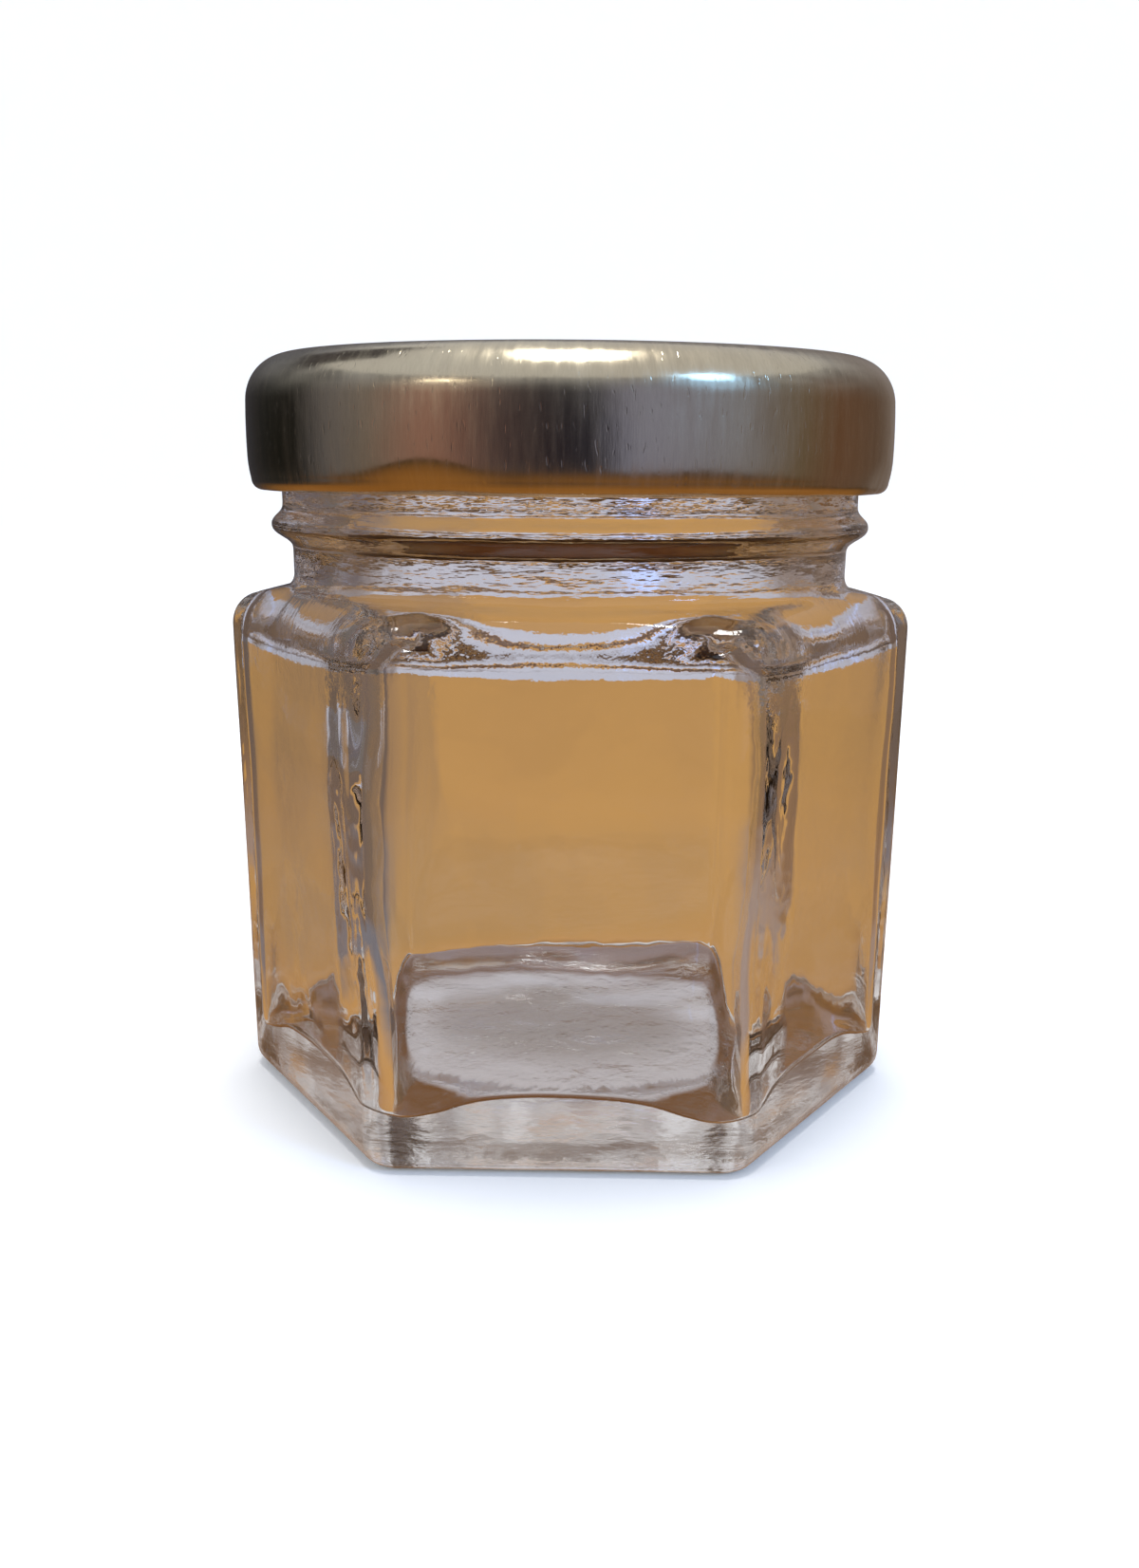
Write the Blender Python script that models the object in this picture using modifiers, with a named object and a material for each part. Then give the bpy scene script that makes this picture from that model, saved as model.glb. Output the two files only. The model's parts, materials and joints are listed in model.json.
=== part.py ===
"""Hexagonal glass jar with a twist-off metal lid, empty and closed.

One moulded glass jar (a hexagonal body with rounded edges, a flat shoulder, a
round neck with a bead and four short thread ramps, a raised inner floor and a
shallow recess under the base) and one pressed lid that rests on its neck.

Units: metres in the scene, millimetres in the constants.  +Z is up, the
origin is the middle of the base, and one flat panel of the body faces -Y.
"""
import math

import bmesh
import bpy
from mathutils import Matrix

MM = 0.001

# ---------------------------------------------------------------- dimensions
# glass body, outside
HEX_SIDE = 25.5          # side of the sharp hexagon, which is its corner radius
CORNER_R = 2.9           # rounding of the six upright edges
BODY_H = 37.1            # height of the flat shoulder
HEEL_R = 1.6             # rounding round the base
SHOULDER_R = 2.2         # rounding round the shoulder

# glass body, inside
WALL = 2.5               # thickness of the middle of a panel
CAVITY_CORNER_R = 2.5    # the inside corners follow the outside
CAVITY_Z0 = 2.2          # lowest point of the inside, in its corners
CAVITY_Z1 = 35.2         # underside of the shoulder
CAVITY_FOOT_R = 1.0
CAVITY_TOP_R = 2.8
FLOOR_H = 5.6            # middle of the raised inner floor
FLOOR_SAG = 0.25         # how much lower the floor is where it rolls off
FLOOR_FLAT_R = 17.2      # it rolls off past this, down into the six corners
FLOOR_ROLL_R = 6.0

# recess under the base, which leaves a flat ring to stand on
RECESS_R = 17.5
RECESS_DEPTH = 0.2

# neck
BORE_R = 17.1            # at the rim, and down to the bead
BORE_FLARE_Z = 42.0      # it widens a little below this
BORE_FOOT_R = 18.1       # where it opens into the body
NECK_R = 20.0            # between the shoulder and the bead
FINISH_R = 20.6          # above the bead
BEAD_R = 21.33
BEAD_Z = 42.0
BEAD_HALF = 1.05
ROOT_R = 1.0             # fillet where the neck meets the shoulder
ROOT_OUT = 21.5
RIM_Z = 52.45
RIM_ROUND = 1.0

# thread ramps on the neck, hidden by the lid
THREADS = 4
THREAD_R = 21.6
THREAD_LOW_Z = 47.1
THREAD_RISE = 2.6
THREAD_SPAN = 62.0       # degrees
THREAD_FROM = -31.0      # degrees round from the front, at the low end

# lid
LID_R = 22.86
LID_Z0 = 44.4
LID_Z1 = 53.25
LID_WALL = 0.34
LID_SHOULDER_R = 3.16
CURL_R = 0.72
PANEL_R = 16.6           # edge of the sunk middle of the lid's top
PANEL_DROP = 0.45
PANEL_RAMP = 1.1
LUGS = 4
LUG_FROM = -21.5         # degrees round from the front
LUG_WIDTH = 8.0
LUG_IN_R = 20.98
LUG_Z0 = 44.75
LUG_Z1 = 45.65

TURN_STEPS = 60          # facets round every turned shape

GLASS = (0.93, 0.95, 0.93, 1.0)
GOLD = (0.52, 0.40, 0.24, 1.0)

APOTHEM = HEX_SIDE * math.cos(math.radians(30.0))


# ------------------------------------------------------------------- helpers
def clear_scene():
    for obj in list(bpy.data.objects):
        bpy.data.objects.remove(obj, do_unlink=True)


def make_collection(name):
    coll = bpy.data.collections.new(name)
    bpy.context.scene.collection.children.link(coll)
    return coll


def make_material(name, colour, roughness, metallic, transmission=0.0):
    mat = bpy.data.materials.new(name)
    mat.use_nodes = True
    bsdf = mat.node_tree.nodes["Principled BSDF"]
    bsdf.inputs["Base Color"].default_value = colour
    bsdf.inputs["Roughness"].default_value = roughness
    bsdf.inputs["Metallic"].default_value = metallic
    bsdf.inputs["Transmission Weight"].default_value = transmission
    bsdf.inputs["IOR"].default_value = 1.52
    mat.diffuse_color = colour
    return mat


def add_object(name, mesh, coll, cutter=False):
    obj = bpy.data.objects.new(name, mesh)
    coll.objects.link(obj)
    if cutter:
        obj.hide_render = True
        obj.display_type = "WIRE"
    return obj


def arc(cx, cz, radius, start, end, steps):
    """Points (r, z) along a circular arc, angles in degrees."""
    points = []
    for i in range(steps + 1):
        t = math.radians(start + (end - start) * i / steps)
        points.append((cx + radius * math.cos(t), cz + radius * math.sin(t)))
    return points


def turned(name, profile, coll, cutter=False, steps=TURN_STEPS):
    """A profile of (r, z) in millimetres, turned round Z.

    It starts and ends on the axis and runs down the outer side.
    """
    mesh = bpy.data.meshes.new(name)
    verts = [(r * MM, 0.0, z * MM) for r, z in profile]
    edges = [(i, i + 1) for i in range(len(verts) - 1)]
    mesh.from_pydata(verts, edges, [])
    obj = add_object(name, mesh, coll, cutter)
    screw = obj.modifiers.new("turn", "SCREW")
    screw.axis = "Z"
    screw.angle = 2.0 * math.pi
    screw.steps = steps
    screw.render_steps = steps
    screw.use_merge_vertices = True
    screw.merge_threshold = 0.00001
    screw.use_smooth_shade = True
    return obj


def rounded_prism(name, side, z0, z1, edge_r, foot_r, top_r, coll,
                  cutter=False, edge_steps=4, rim_steps=4):
    """An upright hexagonal prism with rounded edges, a panel facing -Y."""
    bm = bmesh.new()
    bmesh.ops.create_cone(bm, cap_ends=True, cap_tris=False, segments=6,
                          radius1=side * MM, radius2=side * MM,
                          depth=(z1 - z0) * MM)
    bmesh.ops.rotate(bm, verts=bm.verts, cent=(0, 0, 0),
                     matrix=Matrix.Rotation(math.radians(30.0), 3, "Z"))
    bmesh.ops.translate(bm, verts=bm.verts,
                        vec=(0.0, 0.0, 0.5 * (z0 + z1) * MM))

    def level(edge, z):
        return all(abs(v.co.z - z * MM) < 1e-7 for v in edge.verts)

    upright = [e for e in bm.edges if not level(e, z0) and not level(e, z1)]
    bmesh.ops.bevel(bm, geom=upright, affect="EDGES", segments=edge_steps,
                    offset=edge_r * math.tan(math.radians(30.0)) * MM,
                    offset_type="OFFSET", profile=0.5, clamp_overlap=True)
    for z, radius in ((z0, foot_r), (z1, top_r)):
        rim = [e for e in bm.edges if level(e, z)]
        bmesh.ops.bevel(bm, geom=rim, affect="EDGES", segments=rim_steps,
                        offset=radius * MM, offset_type="OFFSET",
                        profile=0.5, clamp_overlap=True)
    bmesh.ops.remove_doubles(bm, verts=bm.verts, dist=1e-7)
    bmesh.ops.recalc_face_normals(bm, faces=bm.faces)
    mesh = bpy.data.meshes.new(name)
    bm.to_mesh(mesh)
    bm.free()
    return add_object(name, mesh, coll, cutter)


def boolean(obj, operand, operation, name):
    mod = obj.modifiers.new(name, "BOOLEAN")
    mod.operation = operation
    mod.solver = "EXACT"
    mod.object = operand
    return mod


def front_angle(degrees):
    """Degrees round from the front, rising towards +X, as a math angle."""
    return math.radians(-90.0 + degrees)


def thread_ramps(name, coll):
    """Four separate ridges that climb the neck, each with tapered ends."""
    bm = bmesh.new()
    stations = 12
    root = FINISH_R - 0.5
    for k in range(THREADS):
        rings = []
        for i in range(stations + 1):
            u = i / stations
            angle = front_angle(THREAD_FROM + 360.0 / THREADS * k
                                + THREAD_SPAN * u)
            z = THREAD_LOW_Z + THREAD_RISE * u
            taper = min(1.0, 0.12 + 5.0 * min(u, 1.0 - u))
            crest = FINISH_R + (THREAD_R - FINISH_R) * taper
            section = ((root, z + 0.95), (crest, z + 0.35 * taper),
                       (crest, z - 0.35 * taper), (root, z - 0.95))
            rings.append([bm.verts.new((r * math.cos(angle) * MM,
                                        r * math.sin(angle) * MM, h * MM))
                          for r, h in section])
        for a, b in zip(rings, rings[1:]):
            for j in range(4):
                bm.faces.new((a[j], a[(j + 1) % 4], b[(j + 1) % 4], b[j]))
        bm.faces.new(rings[0])
        bm.faces.new(list(reversed(rings[-1])))
    bmesh.ops.recalc_face_normals(bm, faces=bm.faces)
    mesh = bpy.data.meshes.new(name)
    bm.to_mesh(mesh)
    bm.free()
    return add_object(name, mesh, coll, cutter=True)


def lug_blocks(name, coll):
    """The short inward tabs of the lid's curl, as sector blocks."""
    bm = bmesh.new()
    half = math.degrees(0.5 * LUG_WIDTH / LUG_IN_R)
    outer = LID_R - 0.5 * CURL_R
    for k in range(LUGS):
        middle = LUG_FROM + 360.0 / LUGS * k
        columns = []
        for i in range(5):
            angle = front_angle(middle - half + 2.0 * half * i / 4)
            ring = []
            for r, z in ((LUG_IN_R, LUG_Z1), (outer, LUG_Z1),
                         (outer, LUG_Z0), (LUG_IN_R, LUG_Z0)):
                ring.append(bm.verts.new((r * math.cos(angle) * MM,
                                          r * math.sin(angle) * MM, z * MM)))
            columns.append(ring)
        for a, b in zip(columns, columns[1:]):
            for j in range(4):
                bm.faces.new((a[j], a[(j + 1) % 4], b[(j + 1) % 4], b[j]))
        bm.faces.new(columns[0])
        bm.faces.new(list(reversed(columns[-1])))
    bmesh.ops.recalc_face_normals(bm, faces=bm.faces)
    mesh = bpy.data.meshes.new(name)
    bm.to_mesh(mesh)
    bm.free()
    return add_object(name, mesh, coll, cutter=True)


# ------------------------------------------------------------------ profiles
def neck_profile():
    """Outside of the neck, solid to the axis, top to bottom."""
    top = FINISH_R - RIM_ROUND
    profile = [(0.0, RIM_Z)]
    profile += arc(top, RIM_Z - RIM_ROUND, RIM_ROUND, 90.0, 0.0, 3)
    profile.append((FINISH_R, BEAD_Z + BEAD_HALF + 0.15))
    for i in range(1, 6):                       # the bead, a rounded ridge
        t = math.pi * i / 6
        profile.append((FINISH_R - 0.05 + (BEAD_R - FINISH_R + 0.05)
                        * math.sin(t), BEAD_Z + BEAD_HALF * math.cos(t)))
    profile.append((NECK_R + 0.25, BEAD_Z - BEAD_HALF - 0.2))
    profile.append((NECK_R, BEAD_Z - BEAD_HALF - 0.75))
    fillet_z = BODY_H + 0.42
    profile += arc(NECK_R + ROOT_R, fillet_z + ROOT_R, ROOT_R,
                   180.0, 264.0, 4)
    profile.append((ROOT_OUT, BODY_H - 0.9))
    profile.append((0.0, BODY_H - 0.9))
    return profile


def bore_profile():
    """The bore and the rounded lip it leaves, past the top of the rim."""
    lip = BORE_R + RIM_ROUND
    profile = [(0.0, RIM_Z + 1.0), (lip, RIM_Z + 1.0), (lip, RIM_Z)]
    profile += arc(lip, RIM_Z - RIM_ROUND, RIM_ROUND, 120.0, 180.0, 2)
    profile.append((BORE_R, BORE_FLARE_Z))
    profile.append((BORE_FOOT_R, CAVITY_Z1 - 0.2))
    profile.append((BORE_R - 1.2, CAVITY_Z1 - 2.2))
    profile.append((0.0, CAVITY_Z1 - 2.2))
    return profile


def recess_profile():
    """A shallow dish under the base, with its rim past the base plane."""
    radius = (RECESS_R ** 2 + RECESS_DEPTH ** 2) / (2.0 * RECESS_DEPTH)
    profile = []
    steps = 6
    for i in range(steps + 1):
        r = RECESS_R * i / steps
        profile.append((r, RECESS_DEPTH - radius
                        + math.sqrt(radius ** 2 - r ** 2)))
    profile.append((RECESS_R, -1.0))
    profile.append((0.0, -1.0))
    return profile


def floor_profile():
    """The raised floor, nearly flat, then rolled off towards the corners."""
    edge_z = FLOOR_H - FLOOR_SAG
    profile = [(0.0, FLOOR_H), (0.6 * FLOOR_FLAT_R, FLOOR_H - 0.36 * FLOOR_SAG)]
    profile += arc(FLOOR_FLAT_R, edge_z - FLOOR_ROLL_R, FLOOR_ROLL_R,
                   90.0, 20.0, 7)
    profile.append((profile[-1][0], 0.5))
    profile.append((0.0, 0.5))
    return profile


def lid_profile():
    """The whole section of the lid: outside, curl and inside."""
    shoulder_r = LID_R - LID_SHOULDER_R
    shoulder_z = LID_Z1 - LID_SHOULDER_R
    curl_r = LID_R - CURL_R
    curl_z = LID_Z0 + CURL_R
    inner = LID_R - LID_WALL
    inner_top = LID_Z1 - LID_WALL

    profile = [(0.0, LID_Z1 - PANEL_DROP), (PANEL_R, LID_Z1 - PANEL_DROP),
               (PANEL_R + PANEL_RAMP, LID_Z1)]
    profile += arc(shoulder_r, shoulder_z, LID_SHOULDER_R, 90.0, 0.0, 6)
    profile += arc(curl_r, curl_z, CURL_R, 0.0, -180.0, 6)
    profile += arc(curl_r, curl_z, CURL_R, 180.0, 110.0, 2)[1:]
    profile.append((inner, curl_z + CURL_R + 0.5))
    profile += arc(shoulder_r, shoulder_z, LID_SHOULDER_R - LID_WALL,
                   0.0, 90.0, 5)
    profile.append((PANEL_R + PANEL_RAMP, inner_top))
    profile.append((PANEL_R, inner_top - PANEL_DROP))
    profile.append((0.0, inner_top - PANEL_DROP))
    return profile


# --------------------------------------------------------------------- build
def build_jar(parts, cutters):
    jar = rounded_prism("glass_jar", HEX_SIDE, 0.0, BODY_H, CORNER_R,
                        HEEL_R, SHOULDER_R, parts)

    neck = turned("cut_neck", neck_profile(), cutters, cutter=True)
    ramps = thread_ramps("cut_threads", cutters)

    cavity_side = (APOTHEM - WALL) / math.cos(math.radians(30.0))
    cavity = rounded_prism("cut_cavity", cavity_side, CAVITY_Z0, CAVITY_Z1,
                           CAVITY_CORNER_R, CAVITY_FOOT_R, CAVITY_TOP_R,
                           cutters, cutter=True)
    floor = turned("cut_floor", floor_profile(), cutters, cutter=True)
    bore = turned("cut_bore", bore_profile(), cutters, cutter=True)
    recess = turned("cut_recess", recess_profile(), cutters, cutter=True)

    boolean(cavity, floor, "DIFFERENCE", "raised floor")
    boolean(cavity, bore, "UNION", "bore")

    boolean(jar, neck, "UNION", "neck")
    boolean(jar, ramps, "UNION", "threads")
    boolean(jar, cavity, "DIFFERENCE", "inside")
    boolean(jar, recess, "DIFFERENCE", "base recess")
    return jar


def build_lid(parts, cutters):
    lid = turned("lid", lid_profile(), parts)
    lugs = lug_blocks("cut_lugs", cutters)
    boolean(lid, lugs, "UNION", "lugs")
    return lid


def shade(obj):
    mesh = obj.data
    if len(mesh.polygons):
        mesh.shade_smooth()
        mesh.set_sharp_from_angle(angle=math.radians(35.0))


def main():
    clear_scene()
    parts = make_collection("hexagonal_glass_jar")
    cutters = make_collection("hexagonal_glass_jar_cutters")

    jar = build_jar(parts, cutters)
    lid = build_lid(parts, cutters)

    jar.data.materials.append(make_material("clear_glass", GLASS, 0.03, 0.0,
                                            1.0))
    lid.data.materials.append(make_material("gold_lacquer", GOLD, 0.32, 1.0))
    for obj in (jar, lid):
        shade(obj)


main()
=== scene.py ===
import json
import math
import bpy
import numpy as np
from mathutils import Matrix, Vector

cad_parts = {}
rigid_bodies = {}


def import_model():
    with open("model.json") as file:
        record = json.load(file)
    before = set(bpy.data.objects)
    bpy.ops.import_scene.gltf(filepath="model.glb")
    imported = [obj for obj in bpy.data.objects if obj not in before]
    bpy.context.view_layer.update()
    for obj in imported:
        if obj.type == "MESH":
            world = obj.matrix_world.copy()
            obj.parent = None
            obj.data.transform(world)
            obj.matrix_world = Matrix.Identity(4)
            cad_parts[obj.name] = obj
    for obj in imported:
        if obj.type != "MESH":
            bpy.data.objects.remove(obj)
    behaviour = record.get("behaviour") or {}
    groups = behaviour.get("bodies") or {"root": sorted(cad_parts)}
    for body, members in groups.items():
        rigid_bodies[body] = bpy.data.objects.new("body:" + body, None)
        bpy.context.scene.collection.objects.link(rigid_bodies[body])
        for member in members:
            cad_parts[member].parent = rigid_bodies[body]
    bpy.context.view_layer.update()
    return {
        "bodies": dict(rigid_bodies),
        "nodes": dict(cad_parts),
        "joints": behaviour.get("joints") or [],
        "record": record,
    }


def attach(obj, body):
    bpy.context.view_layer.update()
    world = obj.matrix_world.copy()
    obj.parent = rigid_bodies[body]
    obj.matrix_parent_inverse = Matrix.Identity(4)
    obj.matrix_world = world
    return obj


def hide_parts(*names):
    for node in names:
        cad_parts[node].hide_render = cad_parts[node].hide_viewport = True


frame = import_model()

MM = 0.001

# ---- sizes in millimetres, the same as the CAD's
SIDE = 25.5
APOTHEM = SIDE * math.cos(math.radians(30.0))
CORNER_R = 2.9
BODY_H = 37.1
HEEL_R = 1.6
SHOULDER_R = 2.2
NECK_R = 20.0
FINISH_R = 20.6
BEAD_R = 21.33
BEAD_Z = 42.0
RIM_Z = 52.45
BORE_R = 17.1
CAVITY_TOP = 35.5
RECESS_R = 17.5
RECESS_DEPTH = 0.15
WALL = 2.5
CAVITY_CORNER_R = 2.5
THINNING = 0.45
FLOOR_H = 5.6
FLOOR_FLAT_R = 17.2
FLOOR_ROLL_R = 6.0
LID_R = 22.86
LID_Z0 = 44.4
LID_Z1 = 53.25
LID_WALL = 0.34
LID_SHOULDER_R = 3.16
CURL_R = 0.72
PANEL_R = 16.6
PANEL_DROP = 0.45
LUG_ANGLES = [-90.0 - 21.5 + 90.0 * k for k in range(4)]


# ---------------------------------------------------------------- shape tools
def smin(a, b, k):
    """The smaller of two distances, with a fillet of size k where they meet."""
    h = np.clip(0.5 + 0.5 * (b - a) / k, 0.0, 1.0)
    return b * (1 - h) + a * h - k * h * (1 - h)


def smax(a, b, k):
    return -smin(-a, -b, k)


def step(x, lo, hi):
    t = np.clip((x - lo) / (hi - lo), 0.0, 1.0)
    return t * t * (3 - 2 * t)


def fold(x, y):
    """Distances along and across the nearest panel's normal, radius, angle."""
    r = np.hypot(x, y)
    phi = np.mod(np.arctan2(y, x), math.pi / 3) - math.pi / 6
    return r * np.cos(phi), np.abs(r * np.sin(phi)), r, phi


def hexagon(qx, qy, apothem, corner):
    b = apothem - corner
    dx = qx - b
    dy = np.maximum(qy - b * math.tan(math.pi / 6), 0.0)
    return np.where(dx > 0, np.hypot(np.maximum(dx, 0), dy), dx) - corner


def rounded(side, end, r):
    u, v = side + r, end + r
    return (np.minimum(np.maximum(u, v), 0.0)
            + np.hypot(np.maximum(u, 0), np.maximum(v, 0)) - r)


def ripple(x, y, z, seed, size):
    """Slow uneven waves, as on moulded glass. About -1 to 1."""
    rng = np.random.RandomState(seed)
    out = 0.0 * (x + y + z)
    for _ in range(9):
        k = rng.normal(size=3)
        k = k / np.linalg.norm(k) * (2 * math.pi / size) * rng.uniform(0.6, 1.7)
        out = out + np.sin(k[0] * x + k[1] * y + k[2] * z
                           + rng.uniform(0, 2 * math.pi))
    return out / 4.5


# ------------------------------------------------------------------ glass jar
def neck_radius(z):
    r = NECK_R + (FINISH_R - NECK_R) * step(z, BEAD_Z - 1.5, BEAD_Z + 0.1)
    return r + (BEAD_R - 20.50) * np.exp(-np.abs((z - BEAD_Z) / 0.86) ** 2.9)


def jar_outside(x, y, z):
    qx, qy, r, phi = fold(x, y)
    side = hexagon(qx, qy, APOTHEM, CORNER_R)
    top = BODY_H + 0.24 * np.maximum(0.0, 23.2 - r)
    upper = rounded(side, (z - top) * 0.96, SHOULDER_R)
    recess = RECESS_DEPTH * (1.0 - step(r, RECESS_R - 5.0, RECESS_R))
    lower = np.maximum(rounded(side, -z, HEEL_R), recess - z)
    body = np.where(z > 18.0, upper, lower)
    neck = np.maximum(np.maximum(r - neck_radius(z), z - RIM_Z), 26.0 - z)
    return smin(body, neck, 0.92)


def floor_height(r):
    """Flat in the middle, and rolling off into pockets at the upright edges."""
    d = np.clip(r - FLOOR_FLAT_R, 0.0, FLOOR_ROLL_R * 0.7071)
    drop = FLOOR_ROLL_R - np.sqrt(FLOOR_ROLL_R ** 2 - d * d)
    drop = drop + np.maximum(0.0, r - FLOOR_FLAT_R - FLOOR_ROLL_R * 0.7071)
    return FLOOR_H - 0.25 * np.minimum(r / FLOOR_FLAT_R, 1.0) ** 2 - drop


def jar_inside(x, y, z):
    qx, qy, r, phi = fold(x, y)
    side = hexagon(qx, qy, APOTHEM - WALL, CAVITY_CORNER_R)
    # blown glass is thinner towards the upright edges, and not evenly so
    turn = np.arctan2(y, x)
    uneven = 1 + 0.35 * np.sin(0.23 * z + 2.0 * np.sin(3.0 * turn) + 4.0 * turn)
    side = side - THINNING * uneven * step(qy, 5.0, 10.5)
    curve = 2.8 - 0.9 * step(qy, 0.9, 10.5)
    body = rounded(side, z - CAVITY_TOP - 0.24 * np.maximum(0.0, 21.0 - r),
                   curve)
    # the bore widens a little downwards, below the bead
    below = np.log1p(np.exp((42.4 - np.maximum(z, 34.0)) / 0.5))
    bore = r - BORE_R - 0.07 * below
    space = smin(body, bore, 1.85)
    return smax(space, floor_height(r) - z, 1.0)


def reach(func, oz, dx, dy, dz, tmax=45.0, n=90):
    """How far each ray from the axis goes before it leaves the shape."""
    lo = np.zeros_like(dx)
    hi = np.full_like(dx, tmax)
    found = np.zeros(dx.shape, bool)
    for i in range(1, n + 1):
        t = i * tmax / n
        out = func(dx * t, dy * t, oz + dz * t) > 0
        new = out & ~found
        lo = np.where(new, t - tmax / n, lo)
        hi = np.where(new, t, hi)
        found |= new
    for _ in range(30):
        mid = 0.5 * (lo + hi)
        out = func(dx * mid, dy * mid, oz + dz * mid) > 0
        hi = np.where(out, mid, hi)
        lo = np.where(out, lo, mid)
    return 0.5 * (lo + hi)


def sector_angles(corner=16, flat=22, spread=4.6):
    """Angles round the jar, closer together at the six upright edges."""
    out = []
    for k in range(6):
        v = 60.0 * k
        out += list(v - spread + 2 * spread * np.arange(corner) / corner)
        out += list(v + spread + (60.0 - 2 * spread) * np.arange(flat) / flat)
    return np.radians(np.array(out))


def spread(*runs):
    """(height on the axis, elevation) of each ring, from runs of numbers."""
    out = []
    for z0, z1, e0, e1, n in runs:
        out += list(zip(np.linspace(z0, z1, n), np.linspace(e0, e1, n)))
    return np.array(out)


def rings(func, path, th):
    z = path[:, 0][:, None] + 0 * th[None, :]
    e = np.radians(path[:, 1])[:, None] + 0 * th[None, :]
    t = th[None, :] + 0 * z
    dx, dy, dz = np.cos(e) * np.cos(t), np.cos(e) * np.sin(t), np.sin(e)
    d = reach(func, z, dx, dy, dz)
    return np.stack([dx * d, dy * d, z + dz * d], -1)


def revolve(profile, th):
    r = np.array([p[0] for p in profile])[:, None]
    z = np.array([p[1] for p in profile])[:, None]
    return np.stack([r * np.cos(th), r * np.sin(th), z + 0 * th[None, :]], -1)


def arc(cr, cz, radius, a0, a1, n):
    a = np.radians(np.linspace(a0, a1, n))
    return [(cr + radius * math.cos(t), cz + radius * math.sin(t)) for t in a]


def jar_grid():
    th = sector_angles()
    out = rings(jar_outside, spread(
        (12, 12, -88.5, -60, 12), (12, 12, -58, -40, 20),
        (12, 12, -39, -17, 34), (12, 12, -15, 0, 6),
        (13.5, 24, 0, 0, 6), (24, 24, 2, 20, 8), (24, 24, 20.5, 36.5, 44),
        (39, 44.6, 0, 0, 35), (45, 51.4, 0, 0, 10)), th)
    rim = (arc(FINISH_R - 1, RIM_Z - 1, 1.0, 8, 90, 8)
           + arc(BORE_R + 1, RIM_Z - 1, 1.0, 100, 172, 7))
    inside = rings(jar_inside, spread(
        (51.4, 40, 0, 0, 16), (24, 24, 41.5, 8, 60), (24, 24, 6, 0, 4),
        (22, 14, 0, 0, 7), (13, 13, 0, -12, 6), (13, 13, -13, -30, 44),
        (13, 13, -31.5, -88.5, 26)), th)

    # moulded unevenness, a little on the outside and more on the inside
    x, y, z = out[..., 0], out[..., 1], out[..., 2]
    r = np.hypot(x, y)
    k = 1 + 0.028 * ripple(x, y, z, 3, 17.0) / np.maximum(r, 6.0) * step(r, 3, 9)
    out[..., 0] *= k
    out[..., 1] *= k
    x, y, z = inside[..., 0], inside[..., 1], inside[..., 2]
    r = np.hypot(x, y)
    k = 1 + 0.10 * ripple(x, y, z, 5, 13.0) / np.maximum(r, 6.0) * step(r, 3, 9)
    inside[..., 0] *= k
    inside[..., 1] *= k
    inside[..., 2] += 0.06 * ripple(x, y, 0 * z, 8, 9.0) * step(18 - z, 6, 11)
    return np.concatenate([out, revolve(rim, th), inside])


def mesh_from_grid(name, grid):
    """A closed mesh from rings that run from one pole to the other."""
    m, n, _ = grid.shape
    verts = np.concatenate([grid.reshape(-1, 3), grid[0].mean(0)[None],
                            grid[-1].mean(0)[None]]) * MM
    i = np.arange(m - 1)[:, None] * n
    j = np.arange(n)[None, :]
    j2 = (j + 1) % n
    quads = np.stack([i + j, i + j2, i + n + j2, i + n + j], -1).reshape(-1, 4)
    j, j2 = np.arange(n), (np.arange(n) + 1) % n
    low = np.stack([np.full(n, m * n), j2, j], -1)
    high = np.stack([np.full(n, m * n + 1), (m - 1) * n + j,
                     (m - 1) * n + j2], -1)
    mesh = bpy.data.meshes.new(name)
    mesh.from_pydata(verts.tolist(), [],
                     quads.tolist() + low.tolist() + high.tolist())
    mesh.polygons.foreach_set("use_smooth", [True] * len(mesh.polygons))
    mesh.update()
    obj = bpy.data.objects.new(name, mesh)
    bpy.context.scene.collection.objects.link(obj)
    return obj


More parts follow.
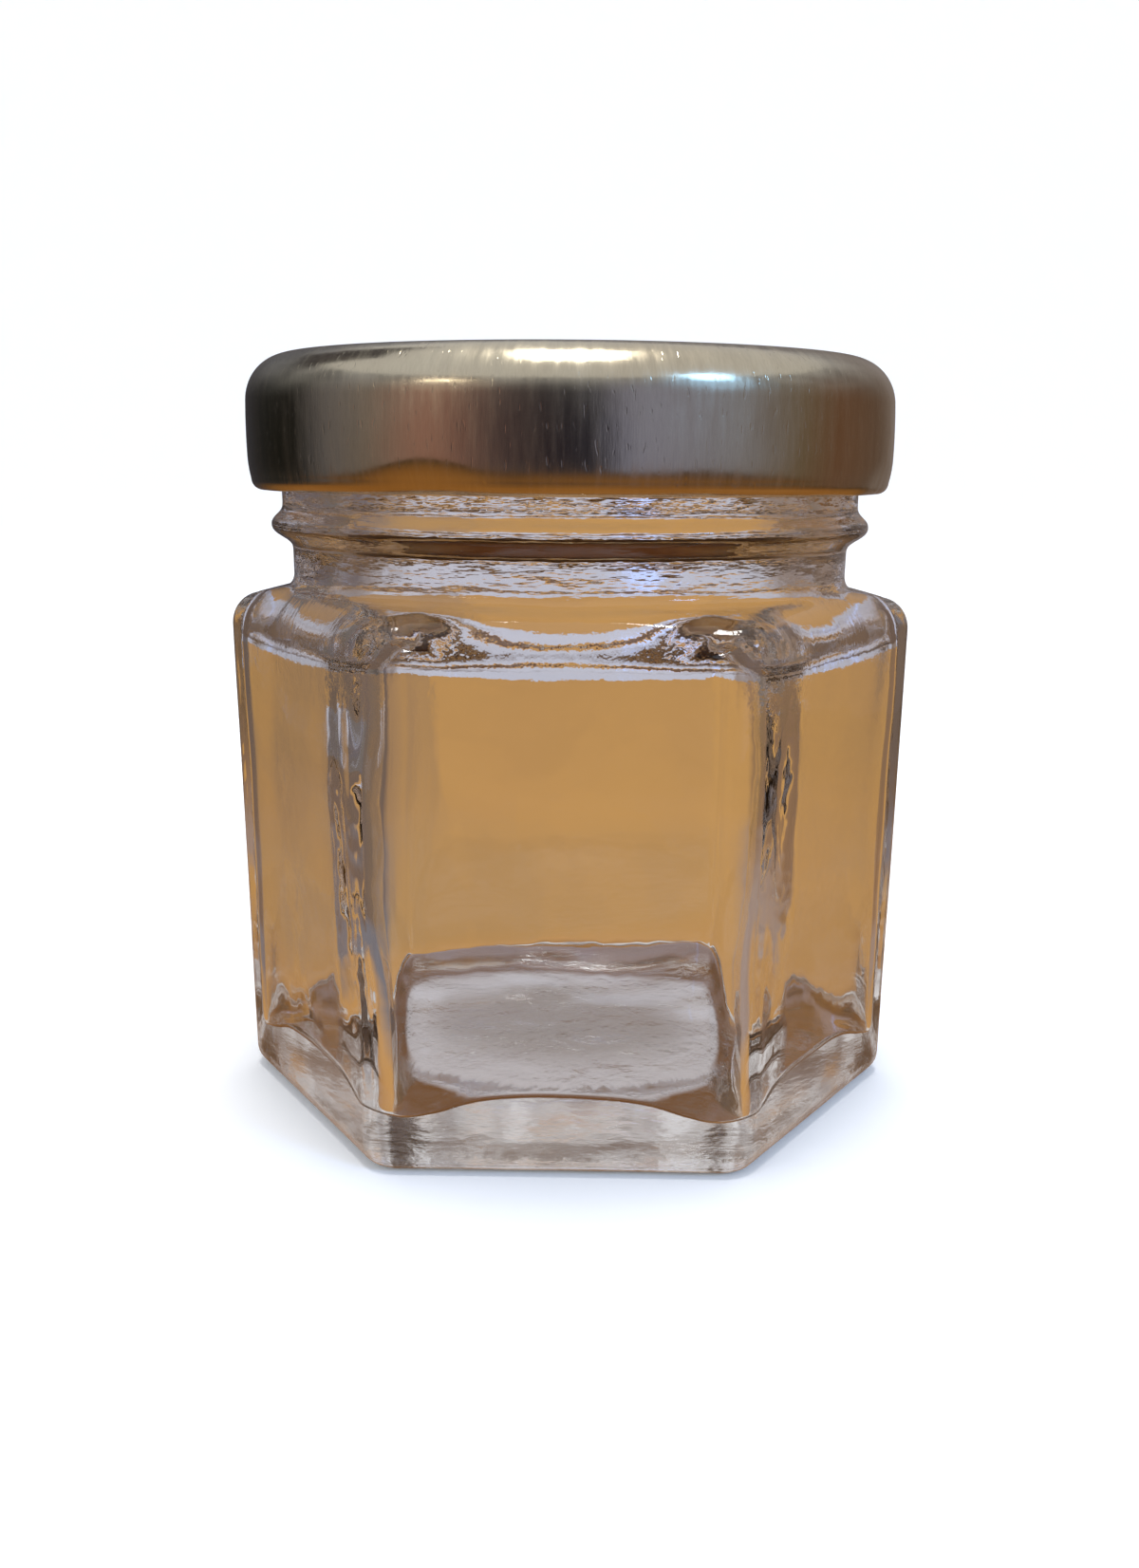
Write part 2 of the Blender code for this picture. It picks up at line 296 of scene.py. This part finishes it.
# ------------------------------------------------------------------------ lid
def lid_grid():
    th = np.radians(np.arange(0, 360, 1.0))
    c = LID_SHOULDER_R
    cz = LID_Z0 + CURL_R

    def side(z):
        """Radius of the slightly barrelled side, turned in at its foot."""
        return (LID_R - 0.012 * (z - 47.6) ** 2
                - 0.055 * max(0.0, cz + 1.6 - z) ** 2)

    outside = []
    # curled lower edge, from inside round to the side
    outside += arc(side(cz) - CURL_R, cz, CURL_R, -180, -14, 14)
    # the shoulder starts at the slope that the side ends with
    lean = math.atan(0.024 * (LID_Z1 - c - 47.6))
    start = LID_Z1 - c + c * math.sin(lean)
    outside += [(side(z), z) for z in np.linspace(cz + 0.05, start - 0.12, 30)]
    outside += arc(side(start) - c * math.cos(lean), LID_Z1 - c, c,
                   math.degrees(lean), 90, 22)
    outside += [(r, LID_Z1) for r in (19.0, 18.3, 17.7)]
    outside += arc(PANEL_R + 0.9, LID_Z1 - 0.5, 0.5, 100, 150, 4)
    outside += arc(PANEL_R - 0.1, LID_Z1 - PANEL_DROP + 0.4, 0.4, -30, -90, 5)
    outside += [(r, LID_Z1 - PANEL_DROP) for r in np.linspace(15.8, 0.6, 16)]
    w = LID_WALL
    inside = [(r, LID_Z1 - PANEL_DROP - w) for r in np.linspace(0.6, 16.2, 10)]
    inside += [(17.4, LID_Z1 - w - 0.02), (18.6, LID_Z1 - w)]
    inside += arc(LID_R - c, LID_Z1 - c, c - w, 90, 0, 9)
    inside += [(LID_R - w, z) for z in np.linspace(LID_Z1 - c - 0.6, cz + 1.2, 8)]
    inside += [(LID_R - 0.55, cz + 0.75), (LID_R - 1.0, cz + 0.62)]
    grid = revolve(inside + outside, th)
    # the lower edge is pressed in at each lug
    x, y, z = grid[..., 0], grid[..., 1], grid[..., 2]
    r = np.hypot(x, y)
    ang = np.degrees(np.arctan2(y, x))
    dent = 0 * r
    for a in LUG_ANGLES:
        d = np.mod(ang - a + 180, 360) - 180
        across = np.exp(-np.abs(d / 8.4) ** 2.2)
        dent = dent + across * (1 - step(z, LID_Z0 - 0.7, LID_Z0 + 1.3
                                         + 1.3 * across))
    shift = 0.30 * dent * step(r, 19.5, 21.5)
    shift = shift + 0.03 * ripple(x, y, 2.2 * z, 11, 15.0) * step(r, 18, 21)
    k = (r - shift) / np.maximum(r, 1e-6)
    grid[..., 0] *= k
    grid[..., 1] *= k
    return grid


# ------------------------------------------------------------------ materials
class Nodes:
    """Short calls for building a node tree."""

    def __init__(self, mat):
        self.tree = mat.node_tree
        self.tree.nodes.clear()

    def new(self, kind, **values):
        node = self.tree.nodes.new(kind)
        for key, value in values.items():
            setattr(node, key, value)
        return node

    def link(self, a, b):
        self.tree.links.new(a, b)

    def noise(self, vector, scale, detail=4.0, rough=0.5):
        n = self.new("ShaderNodeTexNoise")
        n.inputs["Scale"].default_value = scale
        n.inputs["Detail"].default_value = detail
        n.inputs["Roughness"].default_value = rough
        self.link(vector, n.inputs["Vector"])
        return n.outputs["Fac"]

    def ramp(self, fac, stops):
        n = self.new("ShaderNodeValToRGB")
        e = n.color_ramp.elements
        while len(e) < len(stops):
            e.new(0.5)
        for s, (pos, col) in zip(e, stops):
            s.position = pos
            s.color = (*col, 1.0) if len(col) == 3 else col
        self.link(fac, n.inputs["Fac"])
        return n.outputs["Color"]

    def spread(self, fac, lo, hi, a=0.0, b=1.0):
        n = self.new("ShaderNodeMapRange")
        n.inputs["From Min"].default_value = lo
        n.inputs["From Max"].default_value = hi
        n.inputs["To Min"].default_value = a
        n.inputs["To Max"].default_value = b
        self.link(fac, n.inputs["Value"])
        return n.outputs["Result"]

    def math(self, kind, a, b=None):
        n = self.new("ShaderNodeMath", operation=kind)
        for i, v in enumerate((a, b)):
            if v is None:
                continue
            if isinstance(v, (int, float)):
                n.inputs[i].default_value = v
            else:
                self.link(v, n.inputs[i])
        return n.outputs["Value"]

    def scaled(self, vector, scale):
        n = self.new("ShaderNodeMapping")
        n.inputs["Scale"].default_value = scale
        self.link(vector, n.inputs["Vector"])
        return n.outputs["Vector"]


def new_material(name):
    mat = bpy.data.materials.new(name)
    mat.use_nodes = True
    n = Nodes(mat)
    out = n.new("ShaderNodeOutputMaterial")
    shader = n.new("ShaderNodeBsdfPrincipled")
    n.link(shader.outputs["BSDF"], out.inputs["Surface"])
    coords = n.new("ShaderNodeTexCoord").outputs["Object"]
    return mat, n, shader, coords


def glass_material():
    mat, n, shader, pos = new_material("clear_glass")
    shader.inputs["Transmission Weight"].default_value = 1.0
    shader.inputs["IOR"].default_value = 1.52
    shader.inputs["Metallic"].default_value = 0.0
    cloud = n.noise(pos, 90.0, 3.0)
    n.link(n.ramp(cloud, [(0.3, (0.985, 0.99, 0.985)), (0.7, (0.965, 0.975, 0.97))]),
           shader.inputs["Base Color"])
    smudge = n.noise(pos, 160.0, 5.0, 0.6)

    # relief in metres: settle waves all over, ragged glass at the neck and
    # shoulder, stipple under the base
    sep = n.new("ShaderNodeSeparateXYZ")
    n.link(pos, sep.inputs["Vector"])
    z = sep.outputs["Z"]
    slow = n.math("MULTIPLY", n.noise(pos, 240.0, 2.0), 0.000045)
    flat = n.scaled(pos, (1.0, 1.0, 5.0))
    ragged = n.math("MULTIPLY", n.noise(flat, 130.0, 4.0, 0.55), 0.00011)
    neck = n.spread(z, 0.0365, 0.0385)
    fine = n.math("MULTIPLY", n.noise(pos, 900.0, 3.0, 0.6), 0.00002)
    shoulder = n.math("MULTIPLY", n.spread(z, 0.0300, 0.0325),
                      n.spread(z, 0.0385, 0.0365))
    stipple = n.math("MULTIPLY", n.noise(pos, 520.0, 3.0, 0.55), 0.00009)
    under = n.spread(z, 0.0011, 0.0008)
    rough = n.math("MULTIPLY", n.noise(pos, 420.0, 3.0, 0.55), 0.00010)
    heel = n.math("MULTIPLY", n.spread(z, 0.0026, 0.0016),
                  n.spread(z, 0.0002, 0.0005))
    height = slow
    for mask, part in ((neck, ragged), (shoulder, fine), (under, stipple),
                       (heel, rough)):
        height = n.math("ADD", height, n.math("MULTIPLY", mask, part))
    n.link(n.math("ADD", n.spread(smudge, 0.45, 0.75, 0.0, 0.03),
                  n.math("MULTIPLY", under, 0.16)), shader.inputs["Roughness"])
    bump = n.new("ShaderNodeBump")
    bump.inputs["Strength"].default_value = 1.0
    bump.inputs["Distance"].default_value = 1.0
    n.link(height, bump.inputs["Height"])
    n.link(bump.outputs["Normal"], shader.inputs["Normal"])
    return mat


def lid_material():
    mat, n, shader, pos = new_material("gold_lid")
    shader.inputs["Metallic"].default_value = 1.0
    # brushing: fine upright lines, round the lid's side
    sep = n.new("ShaderNodeSeparateXYZ")
    n.link(pos, sep.inputs["Vector"])
    around = n.math("ARCTAN2", sep.outputs["Y"], sep.outputs["X"])
    comb = n.new("ShaderNodeCombineXYZ")
    n.link(n.math("MULTIPLY", around, 0.0229), comb.inputs["X"])
    out = n.math("SQRT", n.math("ADD", n.math("POWER", sep.outputs["X"], 2.0),
                                n.math("POWER", sep.outputs["Y"], 2.0)))
    n.link(n.math("MULTIPLY", n.math("SUBTRACT", sep.outputs["Z"], out), 0.12),
           comb.inputs["Y"])
    fine = n.noise(comb.outputs["Vector"], 9000.0, 3.0, 0.6)
    broad = n.noise(comb.outputs["Vector"], 1500.0, 4.0, 0.6)
    patch = n.noise(pos, 120.0, 4.0)
    tone = n.ramp(patch, [(0.3, (0.84, 0.74, 0.53)), (0.5, (0.80, 0.69, 0.48)),
                          (0.7, (0.75, 0.63, 0.43))])
    streak = n.spread(n.math("ADD", n.math("MULTIPLY", fine, 0.5),
                             n.math("MULTIPLY", broad, 0.5)),
                      0.34, 0.66, 0.93, 1.05)
    brushed_tone = n.new("ShaderNodeMix", data_type="RGBA", blend_type="MULTIPLY")
    brushed_tone.inputs["Factor"].default_value = 1.0
    n.link(tone, brushed_tone.inputs["A"])
    n.link(streak, brushed_tone.inputs["B"])
    # the inside is lacquered brown, and darkened further as painted shade
    z = sep.outputs["Z"]
    wall = n.math("MULTIPLY", n.math("LESS_THAN", out, 0.0226), n.math(
        "MULTIPLY", n.math("GREATER_THAN", z, 0.0459),
        n.math("LESS_THAN", z, 0.0500)))
    top = n.math("MULTIPLY", n.math("LESS_THAN", out, 0.0210), n.math(
        "MULTIPLY", n.math("GREATER_THAN", z, 0.0454),
        n.math("LESS_THAN", z, 0.0526)))
    inside_lacquer_and_shade = n.math("MAXIMUM", wall, top)
    skin = n.new("ShaderNodeMix", data_type="RGBA")
    n.link(inside_lacquer_and_shade, skin.inputs["Factor"])
    n.link(brushed_tone.outputs["Result"], skin.inputs["A"])
    skin.inputs["B"].default_value = (0.21, 0.105, 0.05, 1)
    n.link(skin.outputs["Result"], shader.inputs["Base Color"])
    n.link(n.math("ADD", n.spread(broad, 0.35, 0.65, 0.15, 0.25),
                  n.math("MULTIPLY", inside_lacquer_and_shade, 0.2)), shader.inputs["Roughness"])
    # brushing, hair scratches and a slightly uneven sheet, in metres
    hair = n.noise(n.scaled(comb.outputs["Vector"], (1.0, 2.0, 1.0)),
                   4000.0, 1.0)
    cut = n.math("MULTIPLY", n.spread(hair, 0.66, 0.72), -0.000006)
    height = n.math("ADD", n.math("MULTIPLY", fine, 0.0000025),
                    n.math("MULTIPLY", broad, 0.000007))
    height = n.math("MULTIPLY", n.math("ADD", height, cut),
                    n.spread(out, 0.001, 0.008))
    height = n.math("ADD", height, n.math("MULTIPLY", n.noise(pos, 330.0, 2.0),
                                          0.00003))
    bump = n.new("ShaderNodeBump")
    bump.inputs["Strength"].default_value = 1.0
    bump.inputs["Distance"].default_value = 1.0
    n.link(height, bump.inputs["Height"])
    n.link(bump.outputs["Normal"], shader.inputs["Normal"])
    return mat


# ---------------------------------------------------------------- the objects
jar = mesh_from_grid("glass_jar_body", jar_grid())
jar.data.materials.append(glass_material())
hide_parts("glass_jar")
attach(jar, "root")

lid = mesh_from_grid("twist_lid", lid_grid())
lid.data.materials.append(lid_material())
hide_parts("lid")
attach(lid, "root")


# ------------------------------------------------------------------ the stage
def emitter(name, colour, strength):
    mat = bpy.data.materials.new(name)
    mat.use_nodes = True
    n = Nodes(mat)
    out = n.new("ShaderNodeOutputMaterial")
    e = n.new("ShaderNodeEmission")
    e.inputs["Color"].default_value = (*colour, 1.0)
    e.inputs["Strength"].default_value = strength
    n.link(e.outputs["Emission"], out.inputs["Surface"])
    return mat, n, e


def seen_by(obj, camera=False, diffuse=False, glossy=False, transmission=False,
            shadow=False):
    obj.visible_camera = camera
    obj.visible_diffuse = diffuse
    obj.visible_glossy = glossy
    obj.visible_transmission = transmission
    obj.visible_shadow = shadow
    obj.visible_volume_scatter = False


def sheet(name, x0, x1, y0, y1, z):
    mesh = bpy.data.meshes.new(name)
    mesh.from_pydata([(x0, y0, z), (x1, y0, z), (x1, y1, z), (x0, y1, z)],
                     [], [(0, 1, 2, 3)])
    obj = bpy.data.objects.new(name, mesh)
    bpy.context.scene.collection.objects.link(obj)
    return obj


def build_stage():
    # pale floor and backdrop, which the camera sees
    pale = bpy.data.materials.new("pale_floor")
    pale.use_nodes = True
    n = Nodes(pale)
    out = n.new("ShaderNodeOutputMaterial")
    b = n.new("ShaderNodeBsdfDiffuse")
    b.inputs["Color"].default_value = (0.93, 0.93, 0.93, 1)
    glow = n.new("ShaderNodeEmission")
    glow.inputs["Strength"].default_value = 0.14
    both = n.new("ShaderNodeAddShader")
    n.link(b.outputs["BSDF"], both.inputs[0])
    n.link(glow.outputs["Emission"], both.inputs[1])
    n.link(both.outputs["Shader"], out.inputs["Surface"])
    depth, height, bend, steps = 1.6, 1.6, 0.6, 72
    prof = [(depth - bend, 0.0)]
    prof += [(depth - bend + bend * math.sin(t), bend - bend * math.cos(t))
             for t in np.linspace(0.1, math.pi / 2, 14)]
    prof += [(depth, height)]
    verts = [(r * math.cos(2 * math.pi * i / steps),
              r * math.sin(2 * math.pi * i / steps), z)
             for r, z in prof for i in range(steps)]
    faces = [tuple(range(steps))]
    for k in range(len(prof) - 1):
        for i in range(steps):
            j = (i + 1) % steps
            faces.append((k * steps + i, (k + 1) * steps + i,
                          (k + 1) * steps + j, k * steps + j))
    mesh = bpy.data.meshes.new("backdrop")
    mesh.from_pydata(verts, [], faces)
    mesh.polygons.foreach_set("use_smooth",
                              [False] + [True] * (len(mesh.polygons) - 1))
    back = bpy.data.objects.new("backdrop", mesh)
    bpy.context.scene.collection.objects.link(back)
    back.data.materials.append(pale)
    seen_by(back, camera=True, diffuse=True)

    # warm table top that shows through the glass, glowing as painted light in place
    # of a lit table; less of it shows in the lid, as a dimmer painted shaded copy
    mat, n, e = emitter("warm_table", (0.5, 0.28, 0.1), 1.0)
    pos = n.new("ShaderNodeTexCoord").outputs["Object"]
    sep = n.new("ShaderNodeSeparateXYZ")
    n.link(pos, sep.inputs["Vector"])
    grain = n.noise(pos, 14.0, 4.0)
    out = n.math("SQRT", n.math("ADD", n.math("POWER", sep.outputs["X"], 2.0),
                                n.math("POWER", sep.outputs["Y"], 2.0)))
    # painted light and shade by distance from the axis: painted grey under the jar
    # for light scattered in its base, a lighter ring of painted light, a dark
    # painted contact shadow under its foot, then the table
    foot_shade_and_light = n.ramp(n.spread(out, 0.0, 0.05), [
        (0.0, (0.36, 0.34, 0.35)), (0.13, (0.38, 0.355, 0.365)),
        (0.21, (0.60, 0.58, 0.62)), (0.285, (0.60, 0.58, 0.62)),
        (0.315, (0.15, 0.062, 0.020)), (0.44, (0.15, 0.062, 0.020)),
        (0.50, (0.40, 0.20, 0.075)), (0.62, (0.56, 0.30, 0.11)),
        (1.0, (0.575, 0.31, 0.104))])
    # the painted contact shadow reaches further in behind
    rear = n.math("SQRT", n.math("ADD", n.math("POWER", sep.outputs["X"], 2.0),
                                 n.math("POWER", n.math(
                                     "ADD", sep.outputs["Y"], 0.003), 2.0)))
    shadow_behind = n.new("ShaderNodeMix", data_type="RGBA")
    n.link(n.math("MULTIPLY", n.spread(rear, 0.0153, 0.0167),
                  n.spread(out, 0.0225, 0.0205)), shadow_behind.inputs["Factor"])
    n.link(foot_shade_and_light, shadow_behind.inputs["A"])
    shadow_behind.inputs["B"].default_value = (0.15, 0.062, 0.020, 1)
    foot_shade_and_light = shadow_behind.outputs["Result"]
    # tan straight behind, darker to either side, by the angle round the camera
    aside = n.spread(n.math("ARCTAN2", sep.outputs["X"], n.math(
        "ADD", sep.outputs["Y"], 0.122)), -math.pi, math.pi)
    tint = n.ramp(aside, [(0.5 + a / 360.0, c) for a, c in (
        (-180, (0.16, 0.11, 0.075)), (-60, (0.20, 0.13, 0.085)),
        (-46, (0.17, 0.12, 0.09)), (-18, (0.16, 0.11, 0.09)),
        (-14, (0.40, 0.23, 0.11)), (-9, (0.45, 0.255, 0.11)),
        (-3, (0.56, 0.30, 0.104)), (5, (0.585, 0.315, 0.105)),
        (9, (0.63, 0.335, 0.105)), (14.5, (0.60, 0.32, 0.104)),
        (16.5, (0.36, 0.20, 0.09)), (28, (0.27, 0.155, 0.09)),
        (50, (0.25, 0.15, 0.075)), (180, (0.16, 0.11, 0.075)))])
    # greyer to either side close to the jar
    close = n.ramp(aside, [(0.5 + a / 360.0, c) for a, c in (
        (-180, (0.19, 0.17, 0.18)), (-15, (0.18, 0.17, 0.19)),
        (-11, (0.48, 0.28, 0.12)), (12, (0.575, 0.31, 0.104)),
        (15, (0.36, 0.26, 0.215)), (180, (0.24, 0.19, 0.17)))])
    sides = n.new("ShaderNodeMix", data_type="RGBA")
    n.link(n.spread(out, 0.105, 0.070), sides.inputs["Factor"])
    n.link(tint, sides.inputs["A"])
    n.link(close, sides.inputs["B"])
    tint = sides.outputs["Result"]
    mix = n.new("ShaderNodeMix", data_type="RGBA")
    n.link(n.spread(out, 0.034, 0.046), mix.inputs["Factor"])
    n.link(foot_shade_and_light, mix.inputs["A"])
    n.link(tint, mix.inputs["B"])
    n.link(mix.outputs["Result"], e.inputs["Color"])
    n.link(n.spread(grain, 0.3, 0.7, 0.96, 1.04), e.inputs["Strength"])
    table = sheet("table_top", -0.6, 0.6, -0.35, 0.5, -0.00005)
    table.data.materials.append(mat)
    seen_by(table, transmission=True)
    # painted shaded copy of the table for the lid's reflections: it glows dim, and
    # darker further out
    near = sheet("table_near", -0.18, 0.18, -0.18, 0.18, -0.00005)
    mat, n, e = emitter("shaded_table", (0.5, 0.28, 0.1), 1.0)
    pos = n.new("ShaderNodeTexCoord").outputs["Object"]
    sep = n.new("ShaderNodeSeparateXYZ")
    n.link(pos, sep.inputs["Vector"])
    out = n.math("SQRT", n.math("ADD", n.math("POWER", sep.outputs["X"], 2.0),
                                n.math("POWER", sep.outputs["Y"], 2.0)))
    fade = n.new("ShaderNodeMix", data_type="RGBA")
    n.link(n.spread(out, 0.085, 0.175), fade.inputs["Factor"])
    n.link(n.ramp(n.noise(pos, 20.0, 3.0), [
        (0.35, (0.26, 0.115, 0.030)), (0.65, (0.31, 0.145, 0.045))]),
        fade.inputs["A"])
    fade.inputs["B"].default_value = (0.075, 0.045, 0.025, 1)
    n.link(fade.outputs["Result"], e.inputs["Color"])
    near.data.materials.append(mat)
    seen_by(near, glossy=True)

    def wall(name, radius, low, high):
        steps = 96
        verts, faces = [], []
        for i in range(steps):
            t = 2 * math.pi * i / steps
            verts += [(radius * math.cos(t), radius * math.sin(t), low),
                      (radius * math.cos(t), radius * math.sin(t), high)]
            k = (i + 1) % steps
            faces.append((2 * i, 2 * i + 1, 2 * k + 1, 2 * k))
        mesh = bpy.data.meshes.new(name)
        mesh.from_pydata(verts, [], faces)
        obj = bpy.data.objects.new(name, mesh)
        bpy.context.scene.collection.objects.link(obj)
        mat, n, e = emitter(name + "_tones", (0.2, 0.2, 0.2), 1.0)
        pos = n.new("ShaderNodeTexCoord").outputs["Object"]
        sep = n.new("ShaderNodeSeparateXYZ")
        n.link(pos, sep.inputs["Vector"])
        # 0 at the right, 0.25 towards the back, 0.75 towards the camera
        turn = n.math("FRACT", n.math("ADD", n.math("MULTIPLY", n.math(
            "ARCTAN2", sep.outputs["Y"], sep.outputs["X"]),
            1 / (2 * math.pi)), 1.0))
        obj.data.materials.append(mat)
        return obj, n, e, turn

    def around(n, e, turn, tones):
        """Colours by direction, in degrees from the camera's side."""
        stops = sorted((((-90 + a) % 360) / 360.0, c) for a, c in tones)
        first, last = stops[0], stops[-1]
        w = (1 - last[0]) / (first[0] + 1 - last[0])
        seam = tuple(l + (f - l) * w for l, f in zip(last[1], first[1]))
        n.link(n.ramp(turn, [(0.0, seam)] + stops + [(1.0, seam)]),
               e.inputs["Color"])

    # room, seen only in reflections: darker and lighter parts by direction
    room, n, e, turn = wall("room", 1.0, -0.4, 0.8)
    around(n, e, turn, [
        (-180, (0.075, 0.060, 0.065)), (-156, (0.040, 0.040, 0.050)),
        (-125, (0.010, 0.011, 0.011)), (-105, (0.011, 0.011, 0.010)),
        (-89, (0.118, 0.118, 0.150)), (-70, (0.16, 0.14, 0.14)),
        (-46, (0.275, 0.150, 0.135)), (-24, (0.07, 0.05, 0.06)),
        (-5, (0.018, 0.015, 0.024)), (10, (0.022, 0.022, 0.036)),
        (22, (0.220, 0.240, 0.400)), (59, (0.200, 0.210, 0.290)),
        (84, (0.130, 0.100, 0.070)), (104, (0.130, 0.070, 0.045)),
        (135, (0.110, 0.075, 0.060)), (160, (0.235, 0.200, 0.190))])
    tones = e.inputs["Color"].links[0].from_socket
    sep = n.new("ShaderNodeSeparateXYZ")
    n.link(n.new("ShaderNodeTexCoord").outputs["Object"], sep.inputs["Vector"])
    mix = n.new("ShaderNodeMix", data_type="RGBA")
    n.link(n.ramp(n.spread(sep.outputs["Z"], -0.4, 0.8), [
        (0.0, (0.10, 0.10, 0.10)), (0.30, (0.0, 0.0, 0.0)),
        (0.42, (0.0, 0.0, 0.0)), (0.56, (0.12, 0.12, 0.12)),
        (0.74, (0.42, 0.42, 0.42)), (0.95, (0.85, 0.85, 0.85))]),
        mix.inputs["Factor"])
    n.link(tones, mix.inputs["A"])
    n.link(n.ramp(n.noise(sep.inputs["Vector"].links[0].from_socket, 3.0, 3.0), [
        (0.38, (0.18, 0.19, 0.23)), (0.62, (0.40, 0.425, 0.50))]),
        mix.inputs["B"])
    n.link(mix.outputs["Result"], e.inputs["Color"])
    seen_by(room, glossy=True)

    # light wall behind, seen only through the glass
    back_wall, n, e, turn = wall("light_wall", 0.62, -0.05, 2.2)
    around(n, e, turn, [
        (-180, (0.60, 0.60, 0.71)), (-167, (0.58, 0.575, 0.67)),
        (-162, (0.33, 0.28, 0.28)), (-154, (0.155, 0.13, 0.145)),
        (-138, (0.155, 0.13, 0.145)), (-118, (0.17, 0.14, 0.12)),
        (-85, (0.10, 0.08, 0.07)), (0, (0.08, 0.07, 0.08)),
        (85, (0.13, 0.10, 0.08)), (118, (0.20, 0.15, 0.115)),
        (140, (0.31, 0.235, 0.20)), (160, (0.32, 0.25, 0.225)),
        (167, (0.58, 0.575, 0.67)), (174.9, (0.60, 0.60, 0.71)),
        (175.5, (0.72, 0.88, 1.45)), (176.7, (0.72, 0.88, 1.45)),
        (177.3, (0.60, 0.60, 0.71))])
    tones = e.inputs["Color"].links[0].from_socket
    sep = n.new("ShaderNodeSeparateXYZ")
    n.link(n.new("ShaderNodeTexCoord").outputs["Object"], sep.inputs["Vector"])
    mix = n.new("ShaderNodeMix", data_type="RGBA")
    n.link(n.spread(sep.outputs["Z"], 0.16, 0.22), mix.inputs["Factor"])
    n.link(tones, mix.inputs["A"])
    mix.inputs["B"].default_value = (0.15, 0.10, 0.075, 1)
    n.link(mix.outputs["Result"], e.inputs["Color"])
    seen_by(back_wall, transmission=True)

    # dark frame up behind on the left, seen only in the lid's shoulder
    frame = sheet("dark_frame", -0.17, 0.17, -0.17, 0.17, 0.0)
    frame.matrix_world = (Matrix.Translation((-0.42, 0.42, 0.58))
                          @ Vector((0.5, -0.53, -0.68)).to_track_quat(
                              "Z", "Y").to_matrix().to_4x4())
    mat, n, e = emitter("frame_tones", (0.05, 0.05, 0.06), 1.0)
    pos = n.new("ShaderNodeTexCoord").outputs["Object"]
    n.link(n.ramp(n.noise(pos, 9.0, 2.0), [
        (0.4, (0.04, 0.04, 0.05)), (0.6, (0.07, 0.065, 0.075))]),
        e.inputs["Color"])
    frame.data.materials.append(mat)
    seen_by(frame, glossy=True)

    # light thrown in round the foot, seen only through the glass
    verts = []
    for i in range(6):
        t = math.radians(60 * i)
        r = (APOTHEM + 0.35) / math.cos(math.radians(30)) * MM
        verts += [(r * math.cos(t), r * math.sin(t), 0.0),
                  (r * math.cos(t), r * math.sin(t), 3.1 * MM)]
    mesh = bpy.data.meshes.new("foot_light")
    mesh.from_pydata(verts, [], [(2 * i, 2 * i + 1, (2 * i + 3) % 12,
                                  (2 * i + 2) % 12) for i in range(6)])
    foot = bpy.data.objects.new("foot_light", mesh)
    bpy.context.scene.collection.objects.link(foot)
    mat, n, e = emitter("foot_tones", (0.5, 0.5, 0.5), 1.0)
    pos = n.new("ShaderNodeTexCoord").outputs["Object"]
    n.link(n.ramp(n.noise(pos, 350.0, 4.0, 0.6), [
        (0.36, (0.28, 0.25, 0.25)), (0.48, (0.55, 0.53, 0.53)),
        (0.60, (0.85, 0.84, 0.86))]), e.inputs["Color"])
    foot.data.materials.append(mat)
    seen_by(foot, transmission=True)

    # soft lamps above
    def area(name, size, energy, location, target, colour=(1, 1, 1)):
        lamp = bpy.data.lights.new(name, "AREA")
        lamp.shape = "RECTANGLE"
        lamp.size, lamp.size_y = size
        lamp.energy = energy
        lamp.color = colour
        obj = bpy.data.objects.new(name, lamp)
        obj.location = location
        obj.rotation_euler = (Vector(target) - Vector(location)).to_track_quat(
            "-Z", "Y").to_euler()
        bpy.context.scene.collection.objects.link(obj)
        obj.visible_camera = False
        return obj

    area("ceiling", (0.26, 0.42), 7.0, (0.0, 0.02, 1.15), (0, 0.0, 0.03))
    area("window", (0.24, 0.44), 4.0, (0.82, -0.60, 0.66), (0, 0, 0.05),
         (0.22, 0.50, 1.0))
    area("glow", (0.25, 0.20), 0.7, (-0.72, -0.72, 0.52), (0, 0, 0.05),
         (1.0, 0.93, 0.80))

    world = bpy.data.worlds.new("soft_room")
    world.use_nodes = True
    bg = world.node_tree.nodes["Background"]
    bg.inputs["Color"].default_value = (0.93, 0.97, 1.09, 1)
    bg.inputs["Strength"].default_value = 0.55
    bpy.context.scene.world = world


def build_camera():
    # the pitch, turn, lean and distance fitted to the jar's outline
    yaw, pitch, roll = (math.radians(v) for v in (-1.093, 18.987, 0.446))
    data = bpy.data.cameras.new("camera")
    data.sensor_width = 36.0
    data.sensor_fit = "AUTO"
    data.lens = 1690.5 * 36.0 / 1652.0
    data.shift_x = -0.0020
    data.shift_y = 0.1445
    data.dof.use_dof = False
    data.clip_start = 0.001
    cam = bpy.data.objects.new("camera", data)
    turn = Matrix.Rotation(-yaw, 4, "Z")
    place = turn @ Matrix.Translation((0.000469, -0.12221, 0.04660))
    cam.matrix_world = (place @ Matrix.Rotation(math.pi / 2 - pitch, 4, "X")
                        @ Matrix.Rotation(roll, 4, "Z"))
    bpy.context.scene.collection.objects.link(cam)
    bpy.context.scene.camera = cam


build_stage()
build_camera()
scene = bpy.context.scene
scene.view_settings.view_transform = "Standard"
scene.view_settings.look = "None"
scene.cycles.caustics_reflective = False
scene.cycles.caustics_refractive = False
scene.cycles.glossy_bounces = 18
scene.cycles.transmission_bounces = 18
scene.cycles.max_bounces = 22
scene.cycles.transparent_max_bounces = 8
